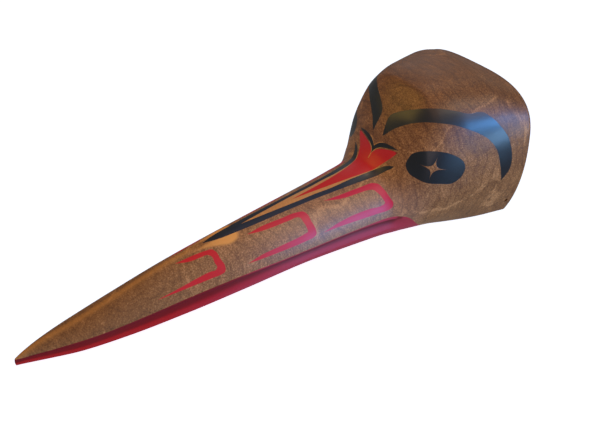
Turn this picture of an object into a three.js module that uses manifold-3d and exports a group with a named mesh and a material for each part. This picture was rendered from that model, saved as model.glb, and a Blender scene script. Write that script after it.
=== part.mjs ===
// Carved wooden bird mask: a hollow head shell with a long bill, all one block of wood, lying on its sole.
// Millimetres, +Z up. The bill points along -Y, the bird's left side is +X, the middle plane is x = 0.
// The origin is under the middle of the mask, on the surface that it lies on.

import * as THREE from 'three';
import { mergeVertices } from 'three/addons/utils/BufferGeometryUtils.js';
import Module from 'manifold-3d';

// Driving dimensions
const LENGTH = 632;            // bill tip to back rim
const WALL = 9;                // thickness of the head shell at its rim
const HOLLOW_DEPTH = 132;      // back rim to the deepest point of the hollow
const HOLLOW_SQUARENESS = 5;   // 2 is a round hollow, higher is boxier
const GROOVE_HEIGHT = 0.42;    // mouth groove, as a share of the lip's height
const GROOVE_DEPTH = 0.15;     // and its depth, as another
const GROOVE_SKEW = 0.6;       // under 1 its deepest place is nearer to the upper lip
const MOUTH_CORNER = 490;      // where the mouth groove runs out, from the bill tip
const GROOVE_FADE = 30;        // length over which it runs out
const TIP_GAP = { deep: 5.5, high: 1.7, at: 4.4 };            // between the two bill tips
const TIE_HOLE = { diameter: 5, fromRim: 9.5, height: 22 };   // one in each rear corner

// The carver's templates, each a cross-section at a distance from the bill tip.
// crown: height of the middle line; half: half width at the widest; wide: height of the widest place;
// full: 2 is elliptical, higher is boxier; sole: half width of the flat underside; lip: height of the lip's edge.
const TEMPLATES = [
  { along: 0, crown: 8.5, half: 1.4, wide: 2.5, full: 2, sole: 0.7, lip: 6 },
  { along: 10, crown: 13, half: 5.5, wide: 3, full: 2, sole: 2, lip: 9 },
  { along: 30, crown: 18.5, half: 13, wide: 4, full: 2, sole: 5, lip: 11.5 },
  { along: 70, crown: 26, half: 24, wide: 4, full: 2, sole: 9, lip: 13.5 },
  { along: 120, crown: 39, half: 30, wide: 4.5, full: 1.9, sole: 10, lip: 17 },
  { along: 190, crown: 57, half: 35.5, wide: 8, full: 1.7, sole: 11, lip: 22.5 },
  { along: 270, crown: 68.5, half: 41.5, wide: 17, full: 1.75, sole: 11, lip: 28.5 },
  { along: 350, crown: 77, half: 46.5, wide: 28, full: 1.85, sole: 12, lip: 34 },
  { along: 430, crown: 84.5, half: 54, wide: 33, full: 2.05, sole: 19, lip: 39.5 },
  { along: 458, crown: 90.5, half: 58, wide: 37, full: 1.95, sole: 25, lip: 40 },
  { along: 470, crown: 103, half: 62.5, wide: 41, full: 1.9, sole: 28, lip: 38.5 },
  { along: 482, crown: 136, half: 69.5, wide: 51, full: 1.75, sole: 30.5, lip: 36 },
  { along: 498, crown: 160.5, half: 77.5, wide: 58.5, full: 2.6, sole: 34, lip: 33 },
  { along: 520, crown: 183.5, half: 84, wide: 66.5, full: 2.8, sole: 41.5, lip: 32 },
  { along: 550, crown: 190, half: 90.5, wide: 79.5, full: 2.9, sole: 54.5, lip: 34 },
  { along: 590, crown: 190.5, half: 98, wide: 95.5, full: 2.9, sole: 68.5, lip: 38 },
  { along: 632, crown: 178.5, half: 104.5, wide: 106, full: 3.15, sole: 77.5, lip: 42 },
];

// Fineness of the faceted solid
const SIDE_STEPS = 17;     // crown to lip
const GROOVE_STEPS = 4;    // across the mouth groove
const CHEEK_STEPS = 5;     // groove to the sole's edge
const SOLE_STEPS = 1;      // sole's edge to its middle, or to the hollow
const HOLLOW_STEPS = 15;   // hollow's crown to the sole
const HOLLOW_ROWS = 19;    // deepest point of the hollow to the rim
const HOLLOW_CROWDING = 2.5;   // above 1 its rows crowd towards the deepest point
const HOLE_SIDES = 14;     // round a tie hole

const WOOD = new THREE.MeshStandardMaterial({ color: 0x7a5233, roughness: 0.45, metalness: 0 });

// Values of one template size at a distance from the tip, by a monotone cubic curve through the templates
function sizeCurve(name) {
  const at = TEMPLATES.map((template) => template.along);
  const value = TEMPLATES.map((template) => template[name]);
  const last = at.length - 1;
  const rise = at.slice(1).map((end, i) => (value[i + 1] - value[i]) / (end - at[i]));
  const slope = at.map((_, i) => {
    if (i === 0) return rise[0];
    if (i === last) return rise[last - 1];
    if (rise[i - 1] * rise[i] <= 0) return 0;
    const before = at[i] - at[i - 1];
    const after = at[i + 1] - at[i];
    const weightBefore = 2 * after + before;
    const weightAfter = after + 2 * before;
    return (weightBefore + weightAfter) / (weightBefore / rise[i - 1] + weightAfter / rise[i]);
  });
  return (along) => {
    let i = 0;
    while (i < last - 1 && along > at[i + 1]) i += 1;
    const step = at[i + 1] - at[i];
    const u = (along - at[i]) / step;
    return value[i] * (1 + 2 * u) * (1 - u) ** 2 + value[i + 1] * u * u * (3 - 2 * u)
      + step * (slope[i] * u * (1 - u) ** 2 - slope[i + 1] * u * u * (1 - u));
  };
}

const curves = Object.fromEntries(
  ['crown', 'half', 'wide', 'full', 'sole', 'lip'].map((name) => [name, sizeCurve(name)]),
);

function templateAt(along) {
  return Object.fromEntries(Object.entries(curves).map(([name, curve]) => [name, curve(along)]));
}

// The section's outline: turn 0 is the crown, 1 the widest place, 2 the sole's edge.
// Above the widest place it is a superellipse, below it an ellipse that is cut off by the sole.
function outline(section, turn) {
  if (turn <= 1) {
    const angle = turn * Math.PI / 2;
    return {
      x: section.half * Math.sin(angle) ** (2 / section.full),
      z: section.wide + (section.crown - section.wide) * Math.cos(angle) ** (2 / section.full),
    };
  }
  const drop = section.wide / Math.sqrt(1 - (section.sole / section.half) ** 2);
  const angle = (turn - 1) * Math.asin(section.wide / drop);
  return { x: section.half * Math.cos(angle), z: section.wide - drop * Math.sin(angle) };
}

// The turn at which the outline has a given height
function turnAtHeight(section, height) {
  if (height >= section.wide) {
    const share = (height - section.wide) / (section.crown - section.wide);
    return Math.acos(share ** (section.full / 2)) / (Math.PI / 2);
  }
  const drop = section.wide / Math.sqrt(1 - (section.sole / section.half) ** 2);
  return 1 + Math.asin((section.wide - height) / drop) / Math.asin(section.wide / drop);
}

// How deep the mouth groove is, from 0 to 1, at a distance from the tip
function grooveStrength(along) {
  const share = THREE.MathUtils.clamp((MOUTH_CORNER - along) / GROOVE_FADE, 0, 1);
  return share * share * (3 - 2 * share);
}

// How far the hollow has opened at a distance from the tip, 0 at its deepest point and 1 at the rim
function hollowOpening(along) {
  const share = Math.min(1, (LENGTH - along) / HOLLOW_DEPTH);
  return (1 - share ** HOLLOW_SQUARENESS) ** (1 / HOLLOW_SQUARENESS);
}

// The hollow's section where it is fully open: the outer one less the wall
function hollowTemplateAt(along) {
  const section = templateAt(along);
  return {
    ...section,
    crown: section.crown - WALL,
    half: section.half - WALL,
    sole: section.sole - WALL,
  };
}

// Points of the outer half section, from the crown down the side, in and out of the mouth groove,
// down to the sole and across it to the middle or to the hollow's edge
function outerHalf(along) {
  const section = templateAt(along);
  const lipTurn = turnAtHeight(section, section.lip);
  const points = [];
  for (let i = 0; i <= SIDE_STEPS; i += 1) points.push(outline(section, lipTurn * i / SIDE_STEPS));
  const lowerLip = section.lip * (1 - GROOVE_HEIGHT);
  const depth = section.lip * GROOVE_DEPTH * grooveStrength(along);
  for (let i = 1; i <= GROOVE_STEPS; i += 1) {
    const share = i / GROOVE_STEPS;
    const height = section.lip + (lowerLip - section.lip) * share;
    const point = outline(section, turnAtHeight(section, height));
    points.push({ x: point.x - depth * Math.sin(Math.PI * share ** GROOVE_SKEW), z: height });
  }
  const lowerTurn = turnAtHeight(section, lowerLip);
  for (let i = 1; i <= CHEEK_STEPS; i += 1) {
    points.push(outline(section, lowerTurn + (2 - lowerTurn) * i / CHEEK_STEPS));
  }
  const inner = hollowTemplateAt(along).sole * hollowOpening(along);
  for (let i = 1; i <= SOLE_STEPS; i += 1) {
    points.push({ x: section.sole + (inner - section.sole) * i / SOLE_STEPS, z: 0 });
  }
  return points.map(({ x, z }) => new THREE.Vector3(x, along - LENGTH / 2, Math.max(z, 0)));
}

// Points of the hollow's half section, from its crown to the sole's inner edge
function hollowHalf(along) {
  const section = hollowTemplateAt(along);
  const opening = hollowOpening(along);
  const points = [];
  for (let i = 0; i <= HOLLOW_STEPS; i += 1) {
    const { x, z } = outline(section, 2 * i / HOLLOW_STEPS);
    points.push(new THREE.Vector3(x * opening, along - LENGTH / 2, Math.max(z * opening, 0)));
  }
  points[HOLLOW_STEPS].set(section.sole * opening, along - LENGTH / 2, 0);
  return points;
}

// Distances from the tip of the hollow's rows, close together where it closes
const hollowRows = Array.from({ length: HOLLOW_ROWS + 1 }, (_, i) => (
  LENGTH - HOLLOW_DEPTH * (1 - (i / HOLLOW_ROWS) ** HOLLOW_CROWDING)
));

// Distances from the tip of the outer rows: even steps on the bill, close ones on the steep forehead,
// and the hollow's own rows behind it, so that the two meet along the sole
function outerRows() {
  const hollowStart = LENGTH - HOLLOW_DEPTH;
  const stretches = [
    { from: 0, to: 30, rows: 4 },
    { from: 30, to: 430, rows: 20 },
    { from: 430, to: 466, rows: 6 },
    { from: 466, to: hollowStart, rows: 10 },
  ];
  const rows = stretches.flatMap(({ from, to, rows: count }) => (
    Array.from({ length: count }, (_, i) => from + (to - from) * i / count)
  ));
  return rows.concat(hollowRows);
}

// Triangles between two rows of points; a quad of which one side has no length gives one triangle or none
function stitch(triangles, rowA, rowB) {
  for (let i = 0; i + 1 < Math.min(rowA.length, rowB.length); i += 1) {
    const quad = [rowA[i], rowB[i], rowB[i + 1], rowA[i + 1]];
    addTriangle(triangles, quad[0], quad[1], quad[2]);
    addTriangle(triangles, quad[0], quad[2], quad[3]);
  }
}

function addTriangle(triangles, a, b, c) {
  const tiny = 1e-4;
  if (a.distanceTo(b) > tiny && b.distanceTo(c) > tiny && c.distanceTo(a) > tiny) triangles.push([a, b, c]);
}

// The half of the mask on the bird's left side, open along the middle plane
function halfShell() {
  const triangles = [];
  const outer = outerRows().map(outerHalf);
  for (let i = 1; i < outer.length; i += 1) stitch(triangles, outer[i], outer[i - 1]);
  const tipMiddle = new THREE.Vector3(0, outer[0][0].y, curves.wide(0));
  for (let i = 1; i < outer[0].length; i += 1) addTriangle(triangles, tipMiddle, outer[0][i], outer[0][i - 1]);
  const hollow = hollowRows.map(hollowHalf);
  for (let i = 1; i < hollow.length; i += 1) stitch(triangles, hollow[i - 1], hollow[i]);
  addRim(triangles, outer[outer.length - 1], hollow[hollow.length - 1]);
  return triangles;
}

// The flat back rim between the last outer and the last hollow points, which differ in number
function addRim(triangles, outer, hollow) {
  let i = 0;
  let j = 0;
  const outerLast = outer.length - 2;   // the last outer point is the hollow's own
  const hollowLast = hollow.length - 1;
  while (i < outerLast || j < hollowLast) {
    const forwardOuter = i < outerLast ? outer[i + 1].distanceTo(hollow[j]) : Infinity;
    const forwardHollow = j < hollowLast ? outer[i].distanceTo(hollow[j + 1]) : Infinity;
    if (forwardOuter <= forwardHollow) {
      addTriangle(triangles, outer[i], outer[i + 1], hollow[j]);
      i += 1;
    } else {
      addTriangle(triangles, outer[i], hollow[j + 1], hollow[j]);
      j += 1;
    }
  }
}

// Both halves as one closed geometry
function shellGeometry() {
  const half = halfShell();
  const positions = [];
  for (const [a, b, c] of half) {
    for (const p of [a, b, c]) positions.push(p.x, p.y, p.z);
    for (const p of [a, c, b]) positions.push(-p.x, p.y, p.z);
  }
  const geometry = new THREE.BufferGeometry();
  geometry.setAttribute('position', new THREE.Float32BufferAttribute(positions, 3));
  return mergeVertices(geometry, 1e-3);
}

const wasm = await Module();
wasm.setup();

function toManifold(geometry) {
  const plain = geometry.clone();
  plain.deleteAttribute('normal');
  plain.deleteAttribute('uv');
  const merged = mergeVertices(plain, 1e-4);
  return new wasm.Manifold(new wasm.Mesh({
    numProp: 3,
    vertProperties: new Float32Array(merged.attributes.position.array),
    triVerts: new Uint32Array(merged.index.array),
  }));
}

function toGeometry(manifold) {
  const mesh = manifold.getMesh();
  const geometry = new THREE.BufferGeometry();
  geometry.setAttribute('position', new THREE.BufferAttribute(new Float32Array(mesh.vertProperties), 3));
  geometry.setIndex(new THREE.BufferAttribute(new Uint32Array(mesh.triVerts), 1));
  geometry.computeVertexNormals();
  return geometry;
}

// The thin gap between the two bill tips, a wedge that is open at the front
function tipGap() {
  const { deep, high, at } = TIP_GAP;
  const clearance = 2;
  const span = 20;
  const wedge = new THREE.Shape([
    new THREE.Vector2(-clearance, at - high),
    new THREE.Vector2(deep, at),
    new THREE.Vector2(-clearance, at + high),
  ]);
  const geometry = new THREE.ExtrudeGeometry(wedge, { depth: span, bevelEnabled: false });
  geometry.rotateX(Math.PI / 2);
  geometry.rotateZ(Math.PI / 2);
  geometry.translate(-span / 2, -LENGTH / 2, 0);
  return geometry;
}

// A drill through the wall square to its surface, for the cord that ties the mask on; side is 1 or -1
function tieDrill(side) {
  const { diameter, fromRim, height } = TIE_HOLE;
  const reach = 4 * WALL;
  const section = templateAt(LENGTH - fromRim);
  const place = outline(section, turnAtHeight(section, height));
  const below = outline(section, turnAtHeight(section, height - 1));
  const lean = Math.atan2(place.x - below.x, 1);
  const geometry = new THREE.CylinderGeometry(diameter / 2, diameter / 2, reach, HOLE_SIDES);
  geometry.rotateZ(side * (Math.PI / 2 - lean));
  geometry.translate(side * place.x, LENGTH / 2 - fromRim, height);
  return geometry;
}

const carved = [tipGap(), tieDrill(1), tieDrill(-1)].reduce(
  (solid, cutter) => solid.subtract(toManifold(cutter)),
  toManifold(shellGeometry()),
);

const mask = new THREE.Mesh(toGeometry(carved), WOOD);
mask.name = 'mask';

const birdMask = new THREE.Group();
birdMask.add(mask);

export default birdMask;
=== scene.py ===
"""A carved wooden mask of a long-billed bird, lying on its sole on a pale floor.

The mask is one block of wood: a hollow head shell that is open behind and below, a long tapering bill, and a
mouth line carved between its halves. Its brows, eyes, fork, stripes, U-forms and lips are painted on.
The middle plane is x = 0, the bill points along -Y, and the surface that the mask lies on is z = 0.
"""

import logging
import math
from collections.abc import Callable
from dataclasses import dataclass, field, replace
from enum import Enum
from functools import reduce

import bpy
import numpy as np
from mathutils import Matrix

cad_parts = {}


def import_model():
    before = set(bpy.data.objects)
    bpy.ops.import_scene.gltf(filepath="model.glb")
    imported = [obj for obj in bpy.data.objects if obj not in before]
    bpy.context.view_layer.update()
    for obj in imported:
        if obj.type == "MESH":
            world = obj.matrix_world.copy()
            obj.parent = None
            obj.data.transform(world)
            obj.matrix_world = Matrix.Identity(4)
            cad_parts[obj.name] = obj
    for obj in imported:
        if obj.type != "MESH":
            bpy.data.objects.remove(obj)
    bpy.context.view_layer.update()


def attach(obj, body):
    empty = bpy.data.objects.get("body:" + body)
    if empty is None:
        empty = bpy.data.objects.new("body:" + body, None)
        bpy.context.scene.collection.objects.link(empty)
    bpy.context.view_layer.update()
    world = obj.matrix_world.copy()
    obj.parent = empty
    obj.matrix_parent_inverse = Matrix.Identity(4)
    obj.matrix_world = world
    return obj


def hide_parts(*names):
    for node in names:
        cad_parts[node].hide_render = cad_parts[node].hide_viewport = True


log = logging.getLogger("bird_mask")

MM = 0.001
NODE = "mask"
BODY = "root"
SLOT = "painted_wood"
TINY = 1e-9
QUARTER_AZIMUTH = math.radians(54.8)

Array = np.ndarray
Arrays = tuple[Array, Array]
Socket = bpy.types.NodeSocket
Points = tuple[tuple[float, float], ...]
Place = Colour = tuple[float, float, float]


class View(Enum):
    """The flat view in which a painted edge is drawn; both sides of the mask share one drawing.

    The value holds the weights of |x|, y and z in the drawing's two coordinates. TOP is unrolled over the steep
    forehead, SHOULDER is seen across the shoulder of the bill, and QUARTER from the photograph's angle.
    """

    TOP = ((1, 0, 0), (0, 1, 1))
    SHOULDER = ((0, 1, 0), (-1, 0, 1))
    SIDE = ((0, 1, 0), (0, 0, 1))
    QUARTER = ((math.cos(QUARTER_AZIMUTH), math.sin(QUARTER_AZIMUTH), 0), (0, 0, 1))

    def places(self, points: Array) -> Array:
        """Puts rows of x, y, z in millimetres on the drawing, as rows of two coordinates."""
        return np.column_stack([np.abs(points[:, 0]), points[:, 1:]]) @ np.array(self.value, float).T


def cubic(u: Array, length: Array, ends: tuple, slopes: tuple) -> Array:
    """The cubic stretch with given ends and end slopes, at the shares u of its length."""
    (start, end), (first, last) = ends, slopes
    return (start * (1 + 2 * u) * (1 - u) ** 2 + end * u * u * (3 - 2 * u)
            + length * (first * u * (1 - u) ** 2 - last * u * u * (1 - u)))


@dataclass(frozen=True)
class Edge:
    """A painted edge: a smooth curve through a few points of a drawing, run on straight past its ends."""

    points: Points
    closed: bool = False
    overrun: float = 25.0
    step: float = 0.5
    near: float = 1.5
    batch: int = 20000

    def path(self) -> Array:
        """Samples the curve.

        The curve is a chord-length Catmull-Rom one: its slope at a point blends those of the chords before and
        after it.

        Returns:
            Rows of two coordinates, a step apart.
        """
        knots = np.array(self.points, float)
        if self.closed:
            knots = np.concatenate([knots[-2:], knots, knots[:2]])
        chord = np.diff(knots, axis=0)
        length = np.maximum(np.linalg.norm(chord, axis=1), TINY)
        slope = chord / length[:, None]
        share = (length[:-1] / (length[:-1] + length[1:]))[:, None]
        tangent = np.concatenate([slope[:1], slope[:-1] * (1 - share) + slope[1:] * share, slope[-1:]])
        rows, first = [], int(self.closed)
        for i in range(first, len(knots) - 1 - first):
            u = np.linspace(0, 1, max(2, int(length[i] / self.step)), endpoint=False)[:, None]
            rows.append(cubic(u, length[i], knots[i:i + 2], tangent[i:i + 2]))
        if self.closed:
            return np.concatenate(rows)
        reach = np.arange(self.step, self.overrun, self.step)[:, None]
        before = knots[:1] - tangent[:1] * reach[::-1]
        after = knots[-1:] + tangent[-1:] * reach
        return np.concatenate([before, *rows, knots[-1:], after])

    def distance(self, places: Array) -> Array:
        """Signed distance of drawing points from the curve.

        It is negative on the left of the curve's direction. Near the curve it is the distance to the nearest
        sample's tangent line, and further away to the sample itself.

        Args:
            places: rows of two drawing coordinates.

        Returns:
            One distance for each row, in millimetres.
        """
        path = self.path()
        if self.closed:
            tangent = np.roll(path, -1, axis=0) - np.roll(path, 1, axis=0)
        else:
            tangent = np.gradient(path, axis=0)
        tangent /= np.maximum(np.linalg.norm(tangent, axis=1, keepdims=True), TINY)
        rows = []
        for start in range(0, len(places), self.batch):
            part = places[start:start + self.batch]
            square = (part ** 2).sum(1)[:, None] + (path ** 2).sum(1)[None] - 2 * part @ path.T
            nearest = square.argmin(axis=1)
            offset = part - path[nearest]
            side = tangent[nearest, 1] * offset[:, 0] - tangent[nearest, 0] * offset[:, 1]
            away = np.linalg.norm(offset, axis=1)
            rows.append(np.where(away > self.near, np.copysign(away, side), side))
        return np.concatenate(rows)


@dataclass(frozen=True)
class PaintedForm:
    """A painted shape between two edges. It is inside where both edges' distances are negative."""

    name: str
    view: View
    outer: Points
    inner: Points = ()
    closed: bool = False
    margin: float = 3.0
    spread: float = 0.0

    def layers(self, points: Array) -> dict[str, Array]:
        """Distances of the mask's points from the form's edges, by layer name; never inside beyond its ends."""
        places = self.view.places(points)
        knots = np.array(self.outer + self.inner)
        middle, half = (knots.max(0) + knots.min(0)) / 2, (knots.max(0) - knots.min(0)) / 2
        beyond = (np.abs(places - middle) - half).max(axis=1) - self.margin
        found = {self.name: np.maximum(Edge(self.outer, self.closed).distance(places) - self.spread, beyond)}
        if self.inner:
            found[self.name + "_inner"] = Edge(self.inner).distance(places) - self.spread
        return found


# A carver's templates: the distance from the bill tip, then the sizes of a Section in their order.
TEMPLATES = np.array((
    (0, 8.5, 1.4, 2.5, 2, 0.7, 6),
    (10, 13, 5.5, 3, 2, 2, 9),
    (30, 18.5, 13, 4, 2, 5, 11.5),
    (70, 26, 24, 4, 2, 9, 13.5),
    (120, 39, 30, 4.5, 1.9, 10, 17),
    (190, 57, 35.5, 8, 1.7, 11, 22.5),
    (270, 68.5, 41.5, 17, 1.75, 11, 28.5),
    (350, 77, 46.5, 28, 1.85, 12, 34),
    (430, 84.5, 54, 33, 2.05, 19, 39.5),
    (458, 90.5, 58, 37, 1.95, 25, 40),
    (470, 103, 62.5, 41, 1.9, 28, 38.5),
    (482, 136, 69.5, 51, 1.75, 30.5, 36),
    (498, 160.5, 77.5, 58.5, 2.6, 34, 33),
    (520, 183.5, 84, 66.5, 2.8, 41.5, 32),
    (550, 190, 90.5, 79.5, 2.9, 54.5, 34),
    (590, 190.5, 98, 95.5, 2.9, 68.5, 38),
    (632, 178.5, 104.5, 106, 3.15, 77.5, 42),
)).T


@dataclass(frozen=True)
class Section:
    """Template sizes at one or many distances from the bill tip, as arrays that share a shape.

    They are the crown's height, the half width, the widest place's height, the power of the curve above it, the
    sole's half width and the lip's height, in millimetres.
    """

    crown: Array
    half: Array
    wide: Array
    full: Array
    sole: Array
    lip: Array

    def outline(self, turn: Array) -> Arrays:
        """Half width and height at a turn: 0 is the crown, 1 the widest place and 2 the sole's edge.

        Above the widest place it is the superellipse (half * sin(a) ** (2 / full), rise * cos(a) ** (2 / full))
        with the angle a spread so that the points lie evenly, and below it an ellipse that the sole cuts off.
        """
        bend = self.full / 2
        upper = np.clip(turn, TINY, 1 - TINY)
        angle = np.pi / 2 * upper ** bend / (upper ** bend + (1 - upper) ** bend)
        out = self.half * np.sin(angle) ** (1 / bend)
        up = self.wide + (self.crown - self.wide) * np.cos(angle) ** (1 / bend)
        drop, reach = self.below()
        under = np.clip(turn - 1, 0, 1) * reach
        lower = turn > 1
        out = np.where(lower, self.half * np.cos(under), np.where(turn <= 0, 0, out))
        return out, np.where(lower, self.wide - drop * np.sin(under), up)

    def below(self) -> Arrays:
        """Depth of the lower ellipse, and the angle at which the sole cuts it off."""
        drop = self.wide / np.sqrt(1 - (self.sole / self.half) ** 2)
        return drop, np.arcsin(self.wide / drop)

    def turn_at(self, height: Array) -> Array:
        """The turn at which the outline has a given height, the outline's formula solved for it."""
        bend = self.full / 2
        rise = np.clip((height - self.wide) / (self.crown - self.wide), 0, 1)
        angle = np.clip(np.arccos(rise ** bend) / (np.pi / 2), TINY, 1 - TINY)
        ratio = (angle / (1 - angle)) ** (1 / bend)
        drop, reach = self.below()
        lower = 1 + np.arcsin(np.clip((self.wide - height) / drop, 0, 1)) / reach
        return np.where(height >= self.wide, ratio / (1 + ratio), lower)


def monotone_cubic(at: Array, value: Array, along: Array) -> Array:
    """Smooth curve through the templates that rises and falls only where they do.

    The slope at a template is the weighted harmonic mean of the rises before and after it, or 0 where these
    differ in sign, and at the ends it is the end rise.

    Args:
        at: the templates' distances.
        value: one size at each template.
        along: the distances asked for.

    Returns:
        The size at each distance asked for.
    """
    step, rise = np.diff(at), np.diff(value) / np.diff(at)
    slope = np.concatenate([rise[:1], np.zeros(len(at) - 2), rise[-1:]])
    before, after = 2 * step[1:] + step[:-1], step[1:] + 2 * step[:-1]
    same = rise[:-1] * rise[1:] > 0
    left, right = np.where(same, rise[:-1], 1), np.where(same, rise[1:], 1)
    slope[1:-1] = np.where(same, (before + after) / (before / left + after / right), 0)
    i = np.clip(np.searchsorted(at, along, side="right") - 1, 0, len(at) - 2)
    u = (along - at[i]) / step[i]
    return cubic(u, step[i], (value[i], value[i + 1]), (slope[i], slope[i + 1]))


def steps(count: int, first: int = 0) -> Array:
    """The shares first / count to 1, as one row."""
    return (np.arange(first, count + 1) / count)[None]


@dataclass
class CarvedForm:
    """The carved block: outer surface with its mouth groove, hollow, rim, tie holes and the gap in the tip."""

    length: float = 632.0
    wall: float = 9.0
    hollow_depth: float = 132.0
    hollow_squareness: float = 5.0
    groove_height: float = 0.42
    groove_depth: float = 0.15
    groove_skew: float = 0.6
    mouth_corner: float = 490.0
    groove_fade: float = 30.0
    rim_round: float = 1.6
    sole_round: float = 1.8
    tip_round: float = 1.2
    tip_middle: float = 4.2
    tip_gap_deep: float = 5.5
    tip_gap_high: float = 1.7
    tip_gap_at: float = 4.4
    tip_gap_ahead: float = 2.0
    tip_gap_beside: float = 10.0
    tie_hole: float = 5.0
    tie_hole_from_rim: float = 9.5
    tie_hole_height: float = 22.0
    tie_hole_sides: int = 48
    sole_share: float = 0.4
    least_opening: float = 0.3
    corner_fade: float = 0.6
    side_steps: int = 60
    groove_steps: int = 12
    cheek_steps: int = 9
    round_steps: int = 3
    sole_steps: int = 2
    cap_steps: int = 5
    rim_steps: int = 3
    rim_middle: int = 2
    bill_stops: tuple[float, ...] = (20.0, 170.0)
    bill_rows: tuple[int, ...] = (13, 75, 190)
    head_rows: int = 90
    head_crowding: float = 1.5

    def section(self, along: Array) -> Section:
        """Sizes at distances from the tip, each by a monotone cubic curve through the templates."""
        at, *sizes = TEMPLATES
        return Section(*(monotone_cubic(at, size, along) for size in sizes))

    def groove_strength(self, along: Array) -> Array:
        """1 along the mouth and 0 past its corner, by the smooth step 3s² - 2s³."""
        share = np.clip((self.mouth_corner - along) / self.groove_fade, 0, 1)
        return share * share * (3 - 2 * share)

    def opening(self, along: Array) -> Array:
        """How far the hollow has opened: (1 - s ** n) ** (1 / n), s from 0 at the rim to 1 at its deepest."""
        share = np.clip((self.length - along) / self.hollow_depth, 0, 1)
        return (1 - share ** self.hollow_squareness) ** (1 / self.hollow_squareness)

    def turns(self, section: Section, foot: Array) -> Array:
        """The columns' turns: crown to lip, across the groove by height, and down the cheek to the foot."""
        share = steps(self.groove_steps, 1)
        lip = section.turn_at(section.lip)
        groove = section.turn_at(section.lip * (1 - self.groove_height * share))
        under, last = groove[:, -1:], section.turn_at(foot)
        return np.concatenate([
            lip * steps(self.side_steps), groove, under + (last - under) * steps(self.cheek_steps, 1)], axis=1)

    def outer_rows(self, along: Array) -> Array:
        """Outer surface of the left half, one row of points for each distance, from the crown to the flat sole.

        A row is the section's outline, set in over the groove by depth * sin(pi * s ** skew), with a corner
        rounded by the parabola between the outline, the sole's sharp edge and the flat sole.
        """
        along = along[:, None]
        section = self.section(along)
        corner = np.minimum(self.sole_round, self.sole_share * section.sole)
        out, up = section.outline(self.turns(section, corner))
        dip = np.zeros(out.shape[1])
        first = self.side_steps + 1
        across = steps(self.groove_steps, 1)[0]
        dip[first:first + self.groove_steps] = np.sin(np.pi * across ** self.groove_skew)
        out = out - section.lip * self.groove_depth * self.groove_strength(along) * dip
        return self.row(out, up, section.sole, section.sole - corner, along)

    def hollow_rows(self, along: Array) -> Array:
        """The hollow's left half in the same columns: the outline less the wall, times the hollow's opening."""
        along = along[:, None]
        outer, opening = self.section(along), self.opening(along)
        section = replace(
            outer, crown=outer.crown - self.wall, half=outer.half - self.wall, sole=outer.sole - self.wall)
        corner = self.hollow_corner(along)
        out, up = section.outline(self.turns(section, corner / np.maximum(opening, self.least_opening)))
        foot = section.sole * opening
        return self.row(out * opening, up * opening, foot, foot + corner, along)

    def row(self, out: Array, up: Array, edge: Array, flat: Array,
            along: Array) -> Array:
        """Adds the rounded corner to an outline, a parabola from its end past the sharp edge to the flat."""
        bend = steps(self.round_steps, 1)
        x = np.concatenate([
            out, out[:, -1:] * (1 - bend) ** 2 + 2 * edge * bend * (1 - bend) + flat * bend ** 2], axis=1)
        z = np.concatenate([up, up[:, -1:] * (1 - bend) ** 2], axis=1)
        return np.stack([x, np.broadcast_to(along, x.shape), z], axis=-1)

    def hollow_corner(self, along: Array) -> Array:
        """Radius of the rounding between the hollow and the sole, which fades where the hollow closes."""
        return self.sole_round * np.clip(2 * self.opening(along) - self.corner_fade, 0, 1)

    def floor_rows(self, along: Array, flat: Array) -> Array:
        """The flat sole, from the rounded corner to the hollow, or to the middle plane before the hollow."""
        along = along[:, None]
        foot = (self.section(along).sole - self.wall) * self.opening(along) + self.hollow_corner(along)
        inner = np.where(self.opening(along) > 0, foot, 0)
        x = flat[:, None] + (inner - flat[:, None]) * steps(self.sole_steps)
        return np.stack([x, np.broadcast_to(along, x.shape), np.zeros_like(x)], axis=-1)

    def stations(self) -> Arrays:
        """Distances of the rows from the tip: from the end of its cap to the hollow, and over the hollow."""
        start = self.length - self.hollow_depth
        stops = (self.tip_round, *self.bill_stops, start)
        bill = [np.linspace(*ends, count + 1)[1:] for *ends, count in zip(stops, stops[1:], self.bill_rows)]
        reach = self.length - self.rim_round - start
        head = start + reach * steps(self.head_rows)[0] ** self.head_crowding
        return np.concatenate([stops[:1], *bill]), head

    def rim(self) -> Array:
        """The rounded rim's rows, which blend from the outer surface to the hollow."""
        arc = np.pi / 2 * steps(self.rim_steps, 1)[0]
        share = self.rim_round * (1 - np.cos(arc)) / self.wall
        middle = np.linspace(share[-1], 1 - share[-1], self.rim_middle + 2)[1:-1]
        blend = np.concatenate([share, middle, (1 - share)[::-1]])[:, None, None]
        bulge = self.rim_round * np.concatenate([np.sin(arc), np.ones(self.rim_middle), np.sin(arc)[::-1]])
        along = self.length - self.rim_round + bulge
        return self.outer_rows(along) * (1 - blend) + self.hollow_rows(along) * blend

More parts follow.
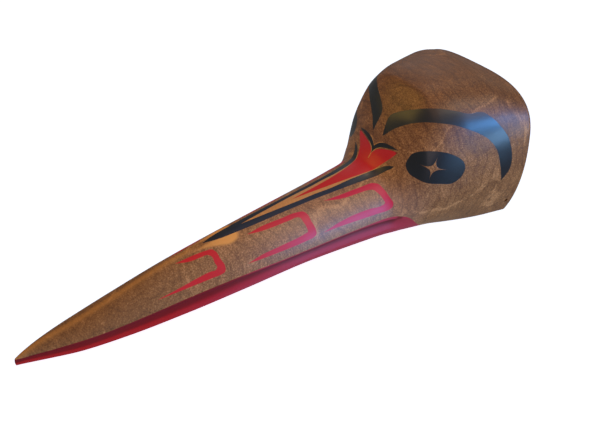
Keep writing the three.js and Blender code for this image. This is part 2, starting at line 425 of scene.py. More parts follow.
    def triangles(self) -> Arrays:
        """The whole closed surface.

        One grid runs from the tip's cap along the outer surface, over the rounded rim and back along the hollow.
        A second covers the sole, and a fan closes the rim's foot. The other side is their mirror image.

        Returns:
            Rows of x, y, z in millimetres, and rows of three indices, counter-clockwise seen from outside.
        """
        cap = np.sin(np.pi / 2 * steps(self.cap_steps)[0])
        front = self.tip_round * (1 - np.sqrt(1 - cap[:-1] ** 2))
        body, head = self.stations()
        along = np.concatenate([front, body, head[1:]])
        outer = self.outer_rows(along)
        floor = self.floor_rows(along, outer[:, -1, 0])
        scale = np.concatenate([cap[:-1], np.ones(len(along) - len(front))])[:, None]
        for rows in (outer, floor):
            rows[..., 0] *= scale
            rows[..., 2] = self.tip_middle + (rows[..., 2] - self.tip_middle) * scale
        rim = self.rim()
        main = np.concatenate([outer, rim, self.hollow_rows(head[::-1])])
        count, columns = main.shape[:2]
        profile = (np.arange(len(outer) - 1, len(outer) + len(rim) + 1) + 1) * columns - 1
        middle = count * columns + floor.shape[0] * floor.shape[1] - 2
        fan = np.stack([np.full(len(profile) - 1, middle), profile[1:], profile[:-1]], axis=1)
        points = np.concatenate([main.reshape(-1, 3), floor.reshape(-1, 3)])
        faces = np.concatenate([
            grid_triangles(count, columns), grid_triangles(*floor.shape[:2]) + count * columns, fan])
        points[:, 1] -= self.length / 2
        both = np.concatenate([points, points * (-1, 1, 1)])
        return merged(both, np.concatenate([faces, faces[:, ::-1] + len(points)]))

    def cutters(self) -> list[Arrays]:
        """The solids that are taken away: a wedge between the bill tips and a drill through each rear corner."""
        high, at = self.tip_gap_high, self.tip_gap_at
        profile = ((-self.tip_gap_ahead, at - high), (self.tip_gap_deep, at), (-self.tip_gap_ahead, at + high))
        wedge = np.array([
            [side * self.tip_gap_beside, y - self.length / 2, z] for side in (-1, 1) for y, z in profile])
        sides = np.array(((0, 1, 2), (3, 5, 4), (0, 3, 4), (0, 4, 1), (1, 4, 5), (1, 5, 2), (2, 5, 3), (2, 3, 0)))
        section = self.section(np.array([self.length - self.tie_hole_from_rim]))
        (out, lower), _ = section.outline(section.turn_at(self.tie_hole_height - np.arange(2.0)))
        lean = math.atan2(out - lower, 1)
        found = [(wedge, sides)]
        for side in (-1, 1):
            drill = 2 * self.wall * np.array([side * math.cos(lean), 0, -math.sin(lean)])
            centre = np.array([side * out, self.length / 2 - self.tie_hole_from_rim, self.tie_hole_height])
            found.append(rod(centre - drill, centre + drill, self.tie_hole / 2, self.tie_hole_sides))
        return found


def grid_triangles(rows: int, columns: int) -> Array:
    """Two triangles for each cell of a grid whose points are numbered row by row."""
    corner = (np.arange(rows - 1)[:, None] * columns + np.arange(columns - 1)[None]).ravel()
    a, b, c, d = corner, corner + 1, corner + columns + 1, corner + columns
    return np.concatenate([np.stack([a, b, c], axis=1), np.stack([a, c, d], axis=1)])


def merged(points: Array, faces: Array) -> Arrays:
    """Makes one of the points with the same place to four decimals, and drops the triangles that this closes."""
    _, keep, where = np.unique(np.round(points, 4), axis=0, return_index=True, return_inverse=True)
    faces = where.reshape(-1)[faces]
    whole = (faces[:, 0] != faces[:, 1]) & (faces[:, 1] != faces[:, 2]) & (faces[:, 2] != faces[:, 0])
    return points[keep], faces[whole]


def rod(start: Array, end: Array, radius: float, sides: int) -> Arrays:
    """A closed round rod: start or end + radius * (cos(a) u + sin(a) v), u and v square to the axis.

    Args:
        start: middle of one end.
        end: middle of the other end.
        radius: the rod's radius.
        sides: number of flat sides.

    Returns:
        Points, and triangles that face outwards.
    """
    axis = (end - start) / np.linalg.norm(end - start)
    u = np.cross(axis, (0, 1, 0) if abs(axis[1]) < 0.9 else (1, 0, 0))
    u /= np.linalg.norm(u)
    angle = 2 * np.pi * np.arange(sides) / sides
    ring = radius * (np.cos(angle)[:, None] * u + np.sin(angle)[:, None] * np.cross(axis, u))
    here, there = np.arange(sides), (np.arange(sides) + 1) % sides
    points = np.concatenate([start + ring, end + ring, [start, end]])
    middle = np.full(sides, 2 * sides)
    faces = [np.stack(corners, axis=1) for corners in (
        (here, there, there + sides), (here, there + sides, here + sides),
        (there, here, middle), (here + sides, there + sides, middle + 1))]
    return points, np.concatenate(faces)


def mesh_object(name: str, points: Array, faces: Array) -> bpy.types.Object:
    """Puts triangles into a mesh.

    Args:
        name: the object's name.
        points: rows of x, y, z in millimetres.
        faces: rows of three indices.

    Returns:
        The object, in the scene and in metres.
    """
    mesh = bpy.data.meshes.new(name)
    mesh.vertices.add(len(points))
    mesh.vertices.foreach_set("co", (points * MM).astype(np.float32).ravel())
    mesh.loops.add(3 * len(faces))
    mesh.loops.foreach_set("vertex_index", faces.astype(np.int32).ravel())
    mesh.polygons.add(len(faces))
    mesh.polygons.foreach_set("loop_start", np.arange(0, 3 * len(faces), 3, dtype=np.int32))
    mesh.update(calc_edges=True)
    found = bpy.data.objects.new(name, mesh)
    bpy.context.scene.collection.objects.link(found)
    return found


STRIPE_TIP = (37.2, 255.9)
STRIPE = PaintedForm(
    "stripe", View.TOP,
    ((0, -22.6), (3.4, -10), (7.5, 26.6), (11.5, 97.8), (13.7, 134), (17, 173.6), (20.5, 203), (23.3, 219.5),
     (25.7, 229.6), (28.5, 238), (31.2, 244.3), (34, 249.2), STRIPE_TIP),
    (STRIPE_TIP, (31.3, 252.3), (27.4, 248.8), (24, 243.9), (19.9, 237.1), (16.8, 229.6), (14.6, 220.3),
     (13.2, 210), (11.6, 195.5), (10.2, 163.6), (8.4, 145), (7.1, 119), (4.9, 89.6), (2.6, 61.2), (0, 30.3)),
    spread=0.35,
)
BLADE_TIP, BLADE_ROOT = (35.3, 281.6), (0, 255.4)
BLADES = PaintedForm(
    "blades", View.TOP,
    (BLADE_TIP, (25.7, 281.6), (17.7, 280.4), (11.5, 278.2), (7, 275.4), (3.4, 271.8), (0.6, 267.4)),
    (BLADE_ROOT, (1.6, 261.4), (5.1, 266.2), (12.4, 271.6), (22.2, 275.9), (29.2, 278.9), BLADE_TIP),
    spread=0.35,
)
PRONG_TIP = (36.7, 278.8)
FORK = PaintedForm(
    "fork", View.TOP,
    ((0, 113), (6.8, 180), (8.9, 195.6), (11, 209), (14, 223), (17.4, 235.5), (20.9, 245.4), (24.8, 255.3),
     (29, 263), (32.9, 270.8), PRONG_TIP),
    (PRONG_TIP, (25.2, 274.8), (15.2, 270.3), (6.8, 265), (2.6, 259.6), (0, 253.8)),
)
BROW_TIP, BROW_END = (137.5, 125.3), (286, 65)
BROW = PaintedForm(
    "brow", View.QUARTER,
    (BROW_END, (289.4, 69.1), (295.2, 79.5), (296.1, 99.8), (293.9, 110), (287.3, 127.5), (275.8, 143.2),
     (262.7, 155.3), (255.1, 160), (248, 161.6), (240.4, 161.2), (237, 161.6), (219.4, 166.3), (192.5, 169),
     (168.2, 162.1), (157.2, 156.9), (148.4, 151.2), (145.4, 148), (141.6, 140.2), BROW_TIP),
    (BROW_TIP, (151.5, 138.7), (157, 142.6), (167.9, 149.2), (190.1, 155.4), (213.4, 153.4), (238, 144.3),
     (250.8, 137.5), (261.4, 130.1), (268.5, 122.3), (274.7, 112.3), (280.8, 92.8), (284.6, 75), BROW_END),
)
EYE = PaintedForm(
    "eye", View.QUARTER,
    ((163.9, 103.6), (166.7, 96.3), (180.8, 88.9), (205.1, 82.9), (221.5, 80.6), (231.1, 86.5), (235.7, 99.1),
     (233.1, 106.3), (221.1, 117.1), (196.6, 124.9), (177.2, 122.2), (170.7, 117.8), (166.4, 110.8)),
    closed=True,
)
FRONT_U = PaintedForm(
    "front_u", View.SHOULDER,
    ((-156.4, 6.7), (-132.6, 6.3), (-108.5, 6), (-91.3, 5.8), (-82.4, 5.8), (-77.4, 7.4), (-75.8, 12.4),
     (-77.7, 29.4), (-79.6, 43.6), (-82.3, 48), (-88, 49.1), (-107.5, 49.6), (-124.6, 48.4)),
    ((-124.6, 48.4), (-110, 43.2), (-97.9, 42.8), (-88.4, 42), (-86.4, 39.8), (-84.8, 26), (-84.5, 17.2),
     (-86.6, 15), (-93.9, 15.6), (-106.4, 14.5), (-132, 10.2), (-156.4, 6.7)),
    spread=0.3,
)
MIDDLE_U = PaintedForm(
    "middle_u", View.SHOULDER,
    ((-47.1, 5.2), (-33.7, 4.2), (-8.1, 3.2), (29, 3.5), (37.2, 4.4), (41, 7.2), (41.7, 12), (40.2, 30.1),
     (39.2, 44), (36.5, 49.6), (29.6, 52), (7.2, 52.6), (-18.9, 52.2), (-35.7, 49)),
    ((-35.7, 49), (-21.6, 45.7), (-9, 44.7), (17.3, 44.6), (27.8, 44.2), (30, 42), (31.1, 35.1), (32.5, 21),
     (32, 15.4), (27.5, 14.2), (-6.4, 11), (-32.4, 9), (-47.1, 5.2)),
    spread=0.3,
)
REAR_U = PaintedForm(
    "rear_u", View.SHOULDER,
    ((52.3, 5), (72.7, 4.2), (99.8, 1.9), (127.3, -0.6), (138, -1.6), (144.2, 0.6), (145.7, 5.8), (144, 15.5),
     (140.2, 37.2), (137.6, 46), (133.5, 50), (115.9, 51.8), (88.2, 52.4), (68.2, 53.3)),
    ((68.2, 53.3), (85.8, 46.4), (98.9, 44.4), (112.4, 43.5), (125.5, 41.6), (129.6, 39), (132.1, 33.4),
     (136.4, 16.4), (136.8, 10.6), (132, 8.9), (115.6, 11.3), (88.2, 12), (70, 9.6), (52.3, 5)),
    spread=0.3,
)
LIPS = PaintedForm(
    "lips", View.SIDE,
    ((181.5, 19.4), (174.8, 25.9), (166.2, 35.2), (159.3, 40.4), (151.5, 42.4), (139.4, 43), (98, 39.9),
     (43.1, 35.6), (0, 32.6), (-49.1, 30), (-112.8, 25.1), (-168.4, 20.1), (-221.3, 15.9), (-271.3, 12.8),
     (-307.8, 8.7)),
    margin=40.0,
)
# Painted highlight: the golden patch where a warm lamp glints on the bill's shoulder, drawn as a shape.
SHOULDER_HIGHLIGHT = PaintedForm(
    "rubbed", View.SHOULDER,
    ((-70, 63.5), (-90, 60), (-106, 56), (-126, 50.8), (-106, 53.6), (-90, 52.5), (-78, 49.5), (-70, 46.5),
     (-61, 43.8), (-52, 45.5), (-45.5, 51), (-44, 60.5)),
    closed=True,
)
BLACK_FORMS = (STRIPE, BLADES, BROW, EYE)
RED_FORMS = (FORK, FRONT_U, MIDDLE_U, REAR_U, LIPS)
FORMS = (*BLACK_FORMS, *RED_FORMS, SHOULDER_HIGHLIGHT)


def operation(kind: str) -> "Callable[..., Link]":
    """A method of Link that adds a Math node of one kind, with the method's own value first."""

    def method(self: "Link", *others: "Link | float") -> "Link":
        """Adds the node."""
        inputs = [self.value, *(other.value if isinstance(other, Link) else other for other in others)]
        node = self.tree.node("Math", dict(enumerate(inputs)), operation=kind)
        return Link(self.tree, node.outputs[0])

    return method


class Link:
    """A value in the shader: it wraps a socket or a number, and arithmetic on it adds Math nodes."""

    def __init__(self, tree: "ShaderTree", value: "Socket | float") -> None:
        """Keeps the tree that the value belongs to, and the socket or number."""
        self.tree, self.value = tree, value

    __add__ = __radd__ = operation("ADD")
    __mul__ = __rmul__ = operation("MULTIPLY")
    __sub__, __truediv__, __pow__ = operation("SUBTRACT"), operation("DIVIDE"), operation("POWER")
    min, max, abs, sin = operation("MINIMUM"), operation("MAXIMUM"), operation("ABSOLUTE"), operation("SINE")

    def __rsub__(self, other: float) -> "Link":
        """A number less this value."""
        return Link(self.tree, other) - self

    def __neg__(self) -> "Link":
        """This value with the other sign."""
        return self * -1

    def ramp(self, low: float, high: float) -> "Link":
        """0 below low, 1 above high and smooth between them; low may be the larger one."""
        node = self.tree.node("MapRange", {"Value": self.value, "From Min": low, "From Max": high},
                              interpolation_type="SMOOTHSTEP")
        return Link(self.tree, node.outputs["Result"])


class ShaderTree:
    """Builds the nodes of one material."""

    def __init__(self, name: str) -> None:
        """Starts an empty material with its output."""
        self.material = bpy.data.materials.new(name)
        self.material.use_nodes = True
        self.nodes, self.links = self.material.node_tree.nodes, self.material.node_tree.links
        self.nodes.clear()
        self.output = self.nodes.new("ShaderNodeOutputMaterial")

    def node(self, kind: str, inputs: dict | None = None, **settings: object) -> bpy.types.Node:
        """Adds a node.

        Args:
            kind: the node's type, without ShaderNode before it.
            inputs: values, sockets or Links for its input sockets, by name or number.
            **settings: its properties, set first; "stops" are a ramp's places and colours.

        Returns:
            The node.
        """
        made = self.nodes.new("ShaderNode" + kind)
        for key, value in settings.items():
            if key == "stops":
                ramp = made.color_ramp
                while len(ramp.elements) < len(value):
                    ramp.elements.new(1.0)
                for element, (place, colour) in zip(ramp.elements, value):
                    element.position, element.color = place, (*colour, 1.0)
            else:
                setattr(made, key, value)
        for key, value in (inputs or {}).items():
            value = value.value if isinstance(value, Link) else value
            if isinstance(value, Socket):
                self.links.new(value, made.inputs[key])
            elif made.inputs[key].type == "RGBA" and len(value) == 3:
                made.inputs[key].default_value = (*value, 1.0)
            else:
                made.inputs[key].default_value = value
        return made

    def layer(self, name: str) -> Link:
        """The mesh's own value of that name."""
        return Link(self, self.node("Attribute", attribute_name=name).outputs["Fac"])

    def noise(self, place: "Link | Socket", look: tuple[float, ...], output: str = "Fac", **extra: Link) -> Link:
        """Soft noise round 0.5, of a scale, detail, roughness and distortion, and in four dimensions with W."""
        inputs = dict(zip(("Scale", "Detail", "Roughness", "Distortion"), look))
        dimensions = "4D" if extra else "3D"
        made = self.node("TexNoise", {"Vector": place, **inputs, **extra}, noise_dimensions=dimensions)
        return Link(self, made.outputs[output])

    def axes(self, place: Socket) -> list[Link]:
        """The three coordinates of a place."""
        return [Link(self, part) for part in self.node("SeparateXYZ", {0: place}).outputs]

    def mix(self, share: Link, first: "Colour | Socket",
            second: "Colour | Socket") -> Socket:
        """Blends two colours."""
        return self.node("Mix", {0: share, 6: first, 7: second}, data_type="RGBA").outputs[2]

    def surface(self, inputs: dict) -> None:
        """Gives the material one Principled shader with these inputs."""
        shader = self.node("BsdfPrincipled", inputs)
        self.links.new(shader.outputs[0], self.output.inputs["Surface"])


class Region:
    """A soft region of the mask.

    It is a strength times the product of smooth steps. Each step names a quantity of PaintedWood, the value at
    which the step is 0 and the value at which it is 1. Lengths and distances are in millimetres.
    """

    def __init__(self, strength: float, *steps: tuple[str, float, float]) -> None:
        """Keeps the strength and the steps."""
        self.strength, self.steps = strength, steps


DARK, PLAIN = (0.066, 0.022, 0.0055), (0.3, 0.185, 0.1)
OUTSIDE = ("inward", 0.3, 0.12)
IN_HOLLOW = ("inward", 0.55, 0.85)
ON_BILL = ("along", 130, 90)
IN_FRONT = ("along", 0, -180)
AT_ROOT = ("along", -60, 60)
FORWARD = ("along", 50, -120)


class PaintedWood(ShaderTree):
    """The mask's finish: oiled wood with satin black and red paint, and plain tooled wood inside.

    Its colours also hold painted light: warm highlights, cool sheen and reflections, and painted shade in the
    mouth groove and the wall. The quantities that it has found, by name, are what the steps of a Region are read
    from.
    """

    tones = (
        (0.12, DARK), (0.38, (0.13, 0.05, 0.0135)), (0.6, (0.2, 0.085, 0.025)), (0.92, (0.38, 0.185, 0.068)))
    tone = 0.54
    pith = (0.03, -0.16, 0.03)
    pith_azimuth = -12.0
    pith_tilt = 55.0
    pith_core = 1e-6
    swirl = (11.0,)
    swirl_reach = 0.07
    fibre = (1.0, 3.0, 0.55)
    fibre_round = 26.0
    fibre_across = 520.0
    fibre_deep = 150.0
    ring = 0.013
    ring_waver = 0.9
    ring_power = 6.0
    ring_tone = -0.14
    pores = (620.0, 3.0, 0.65)
    patches = (34.0, 4.0, 0.6, 0.8)
    clouds = (8.0, 2.0, 0.5, 0.5)
    weights = {"fibre": 0.5, "pores": 1.5, "patches": 0.5, "clouds": 0.3}
    figure = (9.0, 2.0, 0.45, 0.6)
    figure_waves = 170.0
    curl_power = 4.0
    curls = Region(-0.09, ("clouds", 0.46, 0.54))
    streak = (7.0, 1.0, 0.4, 0.4)
    streak_fineness = 60.0
    streaks = Region(0.24, ("streak", 1, 0), ("patches", 0.42, 0.52))
    # Tone by place: darker high on the head and toward the bill tip, lighter along the bill.
    height_and_length_tones = (
        Region(-0.19, ("up", 100, 165)), Region(-0.2, ("along", -80, -200)),
        Region(0.11, ("along", 150, 30)))
    # Colours laid over the wood, each over its region: real stains, and painted shade and sheen.
    stains_and_painted_light = (
        (PLAIN, Region(0.75, IN_HOLLOW)),
        # Painted shade: dark where the rim's wall and the tie holes turn in from the outer surface.
        (DARK, Region(0.7, ("inward", 0.02, 0.14), ("inward", 0.5, 0.2))),
        ((0.15, 0.064, 0.006), Region(0.3, IN_FRONT, OUTSIDE)),
        # Painted sheen: the top of the crown greyer and paler.
        (PLAIN, Region(0.12, ("up", 176, 192))),
        # Painted sheen: a cool grey cast low on the bill's root, where cool light is reflected.
        ((0.26, 0.2, 0.2), Region(0.17, AT_ROOT, ("along", 195, 155), ("up", 95, 60))),
    )
    # Painted highlight: golden glints of a warm lamp on the bare wood between the stripes, along the ridge near
    # the tip, beside the blades, in the fork's unpainted crease and on the bill's shoulder.
    warm_highlight = (0.55, 0.25, 0.055)
    warm_highlight_parts = (
        Region(0.6, ("wedge", 0.3, -0.3), ("out", 24, 16)),
        Region(1, ("rubbed", 1, -5), ("along", -150, -50)),
        Region(0.3, ("out", 7, 0.5), ("along", -80, -115)),
        Region(0.7, ("blades", 1.2, 0.6), ("out", 14, 9)),
        Region(0.8, ("crease", 0.2, -0.2)),
    )
    black = (0.002, 0.004, 0.007)
    # Painted reflection: the black on the middle of the bill tinted blue by the cool light above.
    blue_sheen_black = (0.001, 0.007, 0.024)
    blue_sheen = Region(1, ON_BILL, ("along", -100, -20))
    red = (0.4, 0.003, 0.006)
    # Painted sheen: outside the fork the red turns pinker toward the head, a cool reflection.
    pink_sheen_red = (0.4, 0.005, 0.034)
    pink_sheen = Region(1, AT_ROOT, ("fork", -0.5, 0.5))
    lips = Region(1, ("lips", 0.5, -0.5))
    # Painted reflection: the lips' red is pinker from cool light below, going to deep red toward the bill tip.
    pink_lit_lip_red = (0.28, 0.012, 0.033)
    tip_red = (0.27, 0.001, 0.002)
    # Painted shade: the red darkened in the hollow of the mouth groove.
    groove_shade_red = (0.11, 0.001, 0.004)
    groove = Region(0.85, ("groove_top", 0.68, 0.84), ("groove_foot", 1.02, 0.94))
    groove_drift = (0.15, -0.3)
    black_paint = Region(1, ("black", 0.12, -0.12), OUTSIDE, ("up", 30, 32))
    red_paint = Region(1, ("red", 0.12, -0.12), OUTSIDE, ("crease", -0.2, 0.2))
    wobble = (420.0,)
    wobble_reach = 0.35
    star_middle = (195.6, 104.5)
    star_long = (21.0, -5.0)
    star_short = (5.4, 16.3)
    star_power = 0.38
    star_sharpness = 3.0
    least = 1e-4
    crease_half = 0.5
    crease_middle = 250.5
    crease_reach = 6.0
    cloud = (55.0, 3.0)
    cloud_gloss = 0.12
    tools = (60.0, 2.0, 0.4, 0.3)
    paint_gloss = 0.03
    paint_fill = 0.75
    paint_waves = 2.5
    tool_marks = 6.0
    pore_relief, fibre_relief = 0.6, 0.4
    roughness = 0.44
    rough_parts = (
        Region(0.16, ("lips", 0.5, -0.5)), Region(0.3, IN_HOLLOW), Region(0.38, FORWARD),
        Region(0.25, ("fork", 0.5, -0.5), ON_BILL))
    rough_black = (Region(-0.1, FORWARD), Region(0.2, ON_BILL))
    coat = 0.08
    black_coat = 0.45

    def __init__(self) -> None:
        """Starts the material with the places, the painted distances and the depth in the wall."""
        super().__init__(SLOT)
        self.place = self.node("TexCoord").outputs["Object"]
        out, along, up = (axis / MM for axis in self.axes(self.place))
        self.found = {form.name: self.shape(form) for form in FORMS}
        self.found |= {"out": out.abs(), "along": along, "up": up, "inward": self.layer("inward")}
        self.found["eye"] = self.found["eye"].max(self.star())
        self.found["wedge"] = (-self.layer("stripe_inner")).max(self.layer("stripe")).max(-self.layer("fork"))
        ahead = (along + up - self.crease_middle).abs()
        self.found["crease"] = (self.found["out"] - self.crease_half).max(ahead - self.crease_reach)
        self.front = self.share(Region(1, IN_FRONT))
        for name, drift in zip(("groove_top", "groove_foot"), self.groove_drift):
            self.found[name] = self.layer("groove") + self.front * drift
        wobble = (self.noise(self.place, self.wobble) - 0.5) * self.wobble_reach
        for name, forms in (("black", BLACK_FORMS), ("red", RED_FORMS)):
            self.found[name] = reduce(Link.min, [self.found[form.name] for form in forms]) + wobble

    def share(self, region: Region) -> Link:
        """How far each point of the surface lies in a region, from 0 to its strength."""
        found = region.strength
        for name, low, high in region.steps:
            found = self.found[name].ramp(low, high) * found
        return found

    def shape(self, form: PaintedForm) -> Link:
        """Distance from a painted form: negative inside all its edges."""
        found = self.layer(form.name)
        return found.max(self.layer(form.name + "_inner")) if form.inner else found

    def star(self) -> Link:
        """Rough distance from the bare four-pointed star, positive inside it.

        With a and b the shares of its two half axes, the star is where |a| ** n + |b| ** n < 1, in the quarter
        view, which both sides of the mask share.
        """
        (ax, ay), (bx, by) = self.star_long, self.star_short
        turn = ax * by - ay * bx
        out, along, up = (self.found[name] for name in ("out", "along", "up"))
        (outward, backward, _), _ = View.QUARTER.value
        across = out * outward + along * backward - self.star_middle[0]
        rise = up - self.star_middle[1]
        a, b = (across * by - rise * bx) / turn, (rise * ax - across * ay) / turn
        level = reduce(Link.__add__, [share.abs().max(self.least) ** self.star_power for share in (a, b)])
        return (1 - level.max(self.least) ** (1 / self.star_power)) * self.star_sharpness

    def build(self) -> bpy.types.Material:
        """Makes the material."""
        wood, relief = self.wood()
        black, red = self.share(self.black_paint), self.share(self.red_paint)
        painted, bill = red.max(black), self.share(Region(1, ON_BILL))
        cloud = (self.noise(self.place, self.cloud) - 0.5) * self.cloud_gloss
        tooled = self.share(Region(self.tool_marks, IN_HOLLOW)) * self.noise(self.place, self.tools)
        colour = self.mix(black, self.mix(red, self.with_stains_and_painted_light(wood), self.reds()),
                          self.mix(self.share(self.blue_sheen), self.black, self.blue_sheen_black))
        rough = (self.roughness - self.paint_gloss * painted + cloud
                 + self.total(self.rough_parts) + self.total(self.rough_black) * black)
        height = relief * (1 - painted * self.paint_fill) + tooled + cloud * painted * self.paint_waves
        coat = self.coat + self.black_coat * black * (1 - bill) - self.coat * red
        bump = self.node("Bump", {"Strength": 0.35, "Distance": 0.0006, "Height": height})
        self.surface({
            "Base Color": colour, "Roughness": rough, "Specular IOR Level": 0.4, "Normal": bump.outputs[0],
            "Coat Weight": coat * self.share(Region(1, OUTSIDE)), "Coat Roughness": 0.26, "Coat IOR": 1.45})
        return self.material

    def total(self, regions: tuple[Region, ...]) -> Link:
        """The sum of regions."""
        return reduce(Link.__add__, map(self.share, regions))

    def with_stains_and_painted_light(self, wood: Socket) -> Socket:
        """The wood's colour with stains, painted shade and sheen, and painted golden highlights by the paint,
        ridge and shoulder.
        """
        for colour, region in self.stains_and_painted_light:
            wood = self.mix(self.share(region), wood, colour)
        warm_highlight = reduce(Link.max, map(self.share, self.warm_highlight_parts)) * self.share(Region(1, OUTSIDE))
        return self.mix(warm_highlight, wood, self.warm_highlight)

    def reds(self) -> Socket:
        """The red paint: pinker toward the head as painted sheen, deeper on the lips with a painted pink
        reflection, painted shade in the groove.
        """
        paint = self.mix(self.share(self.pink_sheen), self.red, self.pink_sheen_red)
        paint = self.mix(self.share(self.lips), paint, self.mix(self.front, self.pink_lit_lip_red, self.tip_red))
        return self.mix(self.share(self.groove), paint, self.groove_shade_red)

    def wood(self) -> tuple[Socket, Link]:
        """The wood's colour and its fine relief.

        The fibres lie on rings round the log's pith, which runs across the bill. A place is turned into the
        pith's frame and shifted by a slow swirl, u is its distance from the pith, and the fibre noise is
        stretched along the ring by sampling it at (K cos a, K sin a, k u).

        Returns:
            The colour, and a height around 0.5.
        """
        place = self.place
        turn = (0, math.radians(self.pith_tilt), math.radians(self.pith_azimuth))
        turned = self.node("Mapping", {
            "Vector": place, "Location": self.pith, "Rotation": turn}, vector_type="TEXTURE")
        bent = self.node("VectorMath", {
            0: self.noise(place, self.swirl, "Color"), 1: (self.swirl_reach,) * 3, 2: turned.outputs[0],
        }, operation="MULTIPLY_ADD").outputs[0]
        across, beside, deep = self.axes(bent)
        u = (across * across + beside * beside + self.pith_core) ** 0.5
        lie = self.node("CombineXYZ", {
            0: across / u * self.fibre_round, 1: beside / u * self.fibre_round, 2: u * self.fibre_across,
        }).outputs[0]
        fibre = self.noise(lie, self.fibre, W=deep * self.fibre_deep)
        rings = (u * (2 * math.pi / self.ring) + fibre * self.ring_waver).sin().max(0.0) ** self.ring_power
        pores, patches, clouds, figure = (
            self.noise(place, kind) for kind in (self.pores, self.patches, self.clouds, self.figure))
        streak = (self.noise(bent, self.streak) - 0.5).abs() * self.streak_fineness
        self.found |= {"fibre": fibre, "pores": pores, "patches": patches, "clouds": clouds, "streak": streak}
        curls = ((figure * self.figure_waves).sin() * 0.5 + 0.5) ** self.curl_power
        swings = [(self.found[name] - 0.5) * weight for name, weight in self.weights.items()]
        blotches = reduce(Link.__add__, swings)
        tone = (self.total(self.height_and_length_tones) + blotches + rings * self.ring_tone + curls * self.share(self.curls)
                + self.share(self.streaks) + self.tone)
        colour = self.node("ValToRGB", {0: tone}, stops=self.tones).outputs[0]
        return colour, pores * self.pore_relief + fibre * self.fibre_relief


@dataclass
class BirdMask:
    """The mask: the carved form, cut, painted and finished."""

    form: CarvedForm = field(default_factory=CarvedForm)
    sharp: float = 50.0

    def build(self) -> bpy.types.Object:
        """Builds the mask, puts it under its body, gives it its material and hides the CAD's part of that name.
        """
        points, faces = self.form.triangles()
        mask = mesh_object("carved_mask", points, faces)
        self.cut(mask)
        self.add_layers(mask.data)
        mask.data.materials.append(PaintedWood().build())
        mask.data.shade_smooth()
        mask.data.set_sharp_from_angle(angle=math.radians(self.sharp))
        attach(mask, BODY)
        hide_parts(NODE)
        log.info("%s: %d triangles", mask.name, len(mask.data.polygons))
        return mask

    def cut(self, mask: bpy.types.Object) -> None:
        """Takes the gap and the tie holes out of the mask."""
        cutters = [mesh_object(f"cutter_{i}", *solid) for i, solid in enumerate(self.form.cutters())]
        for cutter in cutters:
            change = mask.modifiers.new(cutter.name, "BOOLEAN")
            change.operation, change.solver, change.object = "DIFFERENCE", "EXACT", cutter
        graph = bpy.context.evaluated_depsgraph_get()
        done = bpy.data.meshes.new_from_object(mask.evaluated_get(graph))
        mask.modifiers.clear()
        old, mask.data = mask.data, done
        done.name = old.name
        bpy.data.meshes.remove(old)
        for cutter in cutters:
            bpy.data.objects.remove(cutter, do_unlink=True)

    def add_layers(self, mesh: bpy.types.Mesh) -> None:
        """Stores, for each point, its distance from every painted edge and how far inward it lies."""
        points = np.empty(3 * len(mesh.vertices), np.float32)
        mesh.vertices.foreach_get("co", points)
        points = points.reshape(-1, 3).astype(float) / MM
        from_tip = points[:, 1] + self.form.length / 2
        section = self.form.section(from_tip)
        layers = {
            "inward": np.where(from_tip > self.form.mouth_corner, self.inward(points, section), 0),
            "groove": points[:, 2] / section.lip * self.form.groove_strength(from_tip),
        }
        for form in FORMS:
            layers.update(form.layers(points))
        for name, values in layers.items():
            mesh.attributes.new(name, "FLOAT", "POINT").data.foreach_set("value", values.astype(np.float32))

    def inward(self, points: Array, section: Section) -> Array:
        """Share of the wall's thickness between the outer surface and a point, about 1 in the hollow.

        Args:
            points: rows of x, y, z in millimetres.
            section: the outer sizes at each point.

        Returns:
            The share for each point, by the outline's formula.
        """
        out, up = np.abs(points[:, 0]) / section.half, points[:, 2] - section.wide
        drop, _ = section.below()
        above = out ** section.full + np.clip(up / (section.crown - section.wide), 0, None) ** section.full
        level = np.where(up > 0, above ** (1 / section.full), np.sqrt(out ** 2 + (up / drop) ** 2))
        return (1 - level) * section.half / self.form.wall


@dataclass(frozen=True)
class SoftLight:
    """A round soft light: where it hangs as seen from its target, and the radiance of its face."""

    name: str
    azimuth: float
    elevation: float
    size: float
    target: Place
    radiance: Colour
    distance: float = 4.0

    def build(self, lit: bpy.types.Collection) -> None:
        """Hangs the light so that it faces its target.

        Args:
            lit: what the light shines on.
        """
        turn, lift = math.radians(self.azimuth), math.radians(self.elevation)
        away = np.array([math.cos(lift) * math.cos(turn), math.cos(lift) * math.sin(turn), math.sin(lift)])
        strongest = max(self.radiance)
        lamp = bpy.data.lights.new(self.name, "AREA")
        lamp.shape, lamp.size = "DISK", self.size
        lamp.energy = strongest * math.pi * math.pi * self.size ** 2 / 4
        lamp.color = tuple(part / strongest for part in self.radiance)
        found = bpy.data.objects.new(self.name, lamp)
        found.location = np.array(self.target) + self.distance * away
        found.rotation_euler = (math.acos(away[2]), 0, math.atan2(away[0], -away[1]))
        found.visible_camera = False
        found.light_linking.receiver_collection = lit
        bpy.context.scene.collection.objects.link(found)


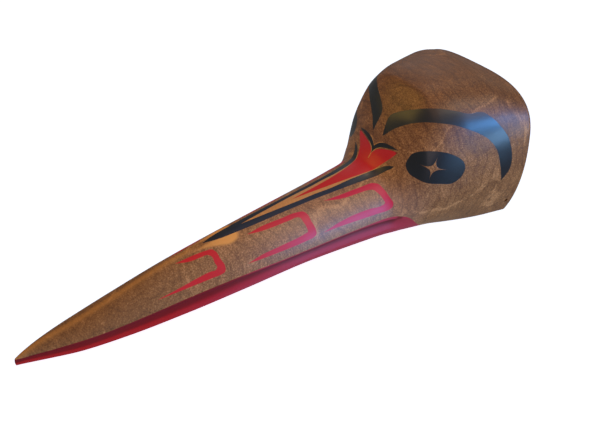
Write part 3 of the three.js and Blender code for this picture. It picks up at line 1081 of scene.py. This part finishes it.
HEAD, MIDDLE, BILL = (0.08, 0.2, 0.12), (0.0, 0.0, 0.04), (0.03, -0.1, 0.03)
LIGHTS = (
    SoftLight("lamp_by_the_bill", -125, 38, 2.6, HEAD, (2.3, 1.45, 0.25)),
    SoftLight("ceiling", 137, 66, 1.6, MIDDLE, (0.65, 0.95, 1.3)),
    SoftLight("spot_over_the_bill", 140, 70, 0.5, BILL, (12.0, 6.5, 1.5)),
    SoftLight("window", 23, 8, 1.15, HEAD, (5.0, 15.5, 36.0)),
    SoftLight("window_middle", 26, 28, 1.4, HEAD, (3.4, 3.3, 5.2)),
    SoftLight("window_top", 22, 52, 1.9, HEAD, (5.2, 4.4, 3.4)),
    SoftLight("window_in_the_table", 25, -12, 1.2, HEAD, (5.0, 10.0, 17.0)),
    SoftLight("lamp_overhead", -40, 66, 3.6, MIDDLE, (1.2, 0.6, 0.3)),
    SoftLight("wall_in_front", -30, 13, 2.6, HEAD, (1.1, 0.85, 0.85)),
    SoftLight("wall_behind", 150, 28, 2.0, HEAD, (0.4, 0.56, 0.65)),
    SoftLight("wall_at_the_back", 105, 38, 2.4, HEAD, (0.8, 0.65, 0.5)),
)


@dataclass(frozen=True)
class Studio:
    """The pale floor, the soft lights and the camera."""

    camera_place: Place = (0.8156, -0.5280, 0.7011)
    camera_elevation: float = 33.0
    lens: float = 60.0
    sensor: float = 36.0
    floor_size: float = 40.0
    floor_gap: float = 0.3
    floor_colour: Colour = (0.9, 0.9, 0.9)
    floor_glow: Colour = (0.88, 0.94, 1.06)
    backdrop_sides: int = 64
    room: float = 0.2

    def build(self, mask: bpy.types.Object) -> None:
        """Builds the floor, the lights and the camera.

        Args:
            mask: what the coloured lights shine on, so that the floor stays white.
        """
        self.floor()
        lit = bpy.data.collections.new("lit_by_lamps")
        lit.objects.link(mask)
        for light in LIGHTS:
            light.build(lit)
        self.world()
        self.camera()

    def floor(self) -> None:
        """A plain pale floor that glows a little, as paper on a light table does, and the same all round."""
        half, under = self.floor_size / 2 / MM, -self.floor_gap
        floor = mesh_object("floor", np.array([
            [-half, -half, under], [half, -half, under], [half, half, under], [-half, half, under]]),
            np.array([[0, 1, 2], [0, 2, 3]]))
        tree = ShaderTree("pale_floor")
        tree.surface({"Base Color": self.floor_colour, "Roughness": 0.8, "Specular IOR Level": 0.1,
                      "Emission Color": self.floor_glow, "Emission Strength": 1.0})
        floor.data.materials.append(tree.material)
        floor.visible_glossy = False
        reach = np.array([0, 0, half])
        backdrop = mesh_object("backdrop", *rod(-reach, reach, half, self.backdrop_sides))
        backdrop.data.materials.append(tree.material)
        backdrop.visible_glossy = backdrop.visible_diffuse = backdrop.visible_shadow = False

    def world(self) -> None:
        """Even light from a pale room."""
        world = bpy.data.worlds.new("room")
        world.use_nodes = True
        shade = world.node_tree.nodes["Background"]
        shade.inputs["Color"].default_value = (1.0, 1.0, 1.0, 1.0)
        shade.inputs["Strength"].default_value = self.room
        bpy.context.scene.world = world

    def camera(self) -> None:
        """The camera at the photograph's viewing angle."""
        view = bpy.data.cameras.new("camera")
        view.lens, view.sensor_width = self.lens, self.sensor
        found = bpy.data.objects.new("camera", view)
        found.location = self.camera_place
        found.rotation_euler = (math.radians(90 - self.camera_elevation), 0, QUARTER_AZIMUTH)
        bpy.context.scene.collection.objects.link(found)
        bpy.context.scene.camera = found


def main() -> None:
    """Builds the mask and its studio in the CAD's frame."""
    logging.basicConfig(level=logging.INFO, format="%(name)s: %(message)s")
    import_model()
    mask = BirdMask().build()
    Studio().build(mask)
    bpy.context.scene.view_settings.view_transform = "Standard"
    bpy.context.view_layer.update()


if __name__ == "__main__":
    main()
